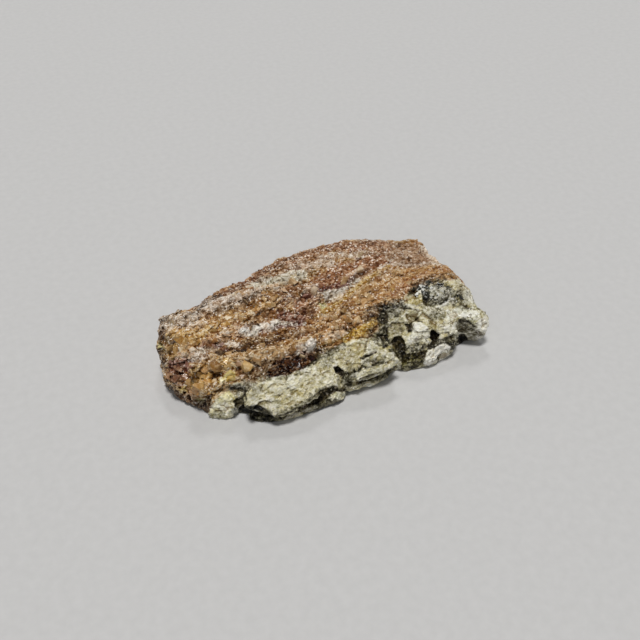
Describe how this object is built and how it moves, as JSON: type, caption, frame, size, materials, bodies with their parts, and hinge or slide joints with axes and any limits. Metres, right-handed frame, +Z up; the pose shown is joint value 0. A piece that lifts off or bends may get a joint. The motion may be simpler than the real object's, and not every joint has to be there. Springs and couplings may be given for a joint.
{
  "type": "hokkaidoite slice",
  "caption": "Flat slab of banded rock, sawn flat underneath and broken all round, with a ridged crystalline top and a pale blocky near side with clefts.",
  "frame": {"origin": "centre of the plan box, on the sawn face that the piece lies on", "axes": "+X along the piece's length, pale broken side towards -Y, +Z up from the sawn face"},
  "size_m": [0.0444, 0.0252, 0.0084],
  "materials": {
    "rock": "rough broken crystalline rock: rust brown and orange top, cream and olive near side"
  },
  "bodies": {
    "root": {"rock_slice": "rock"}
  },
  "joints": []
}
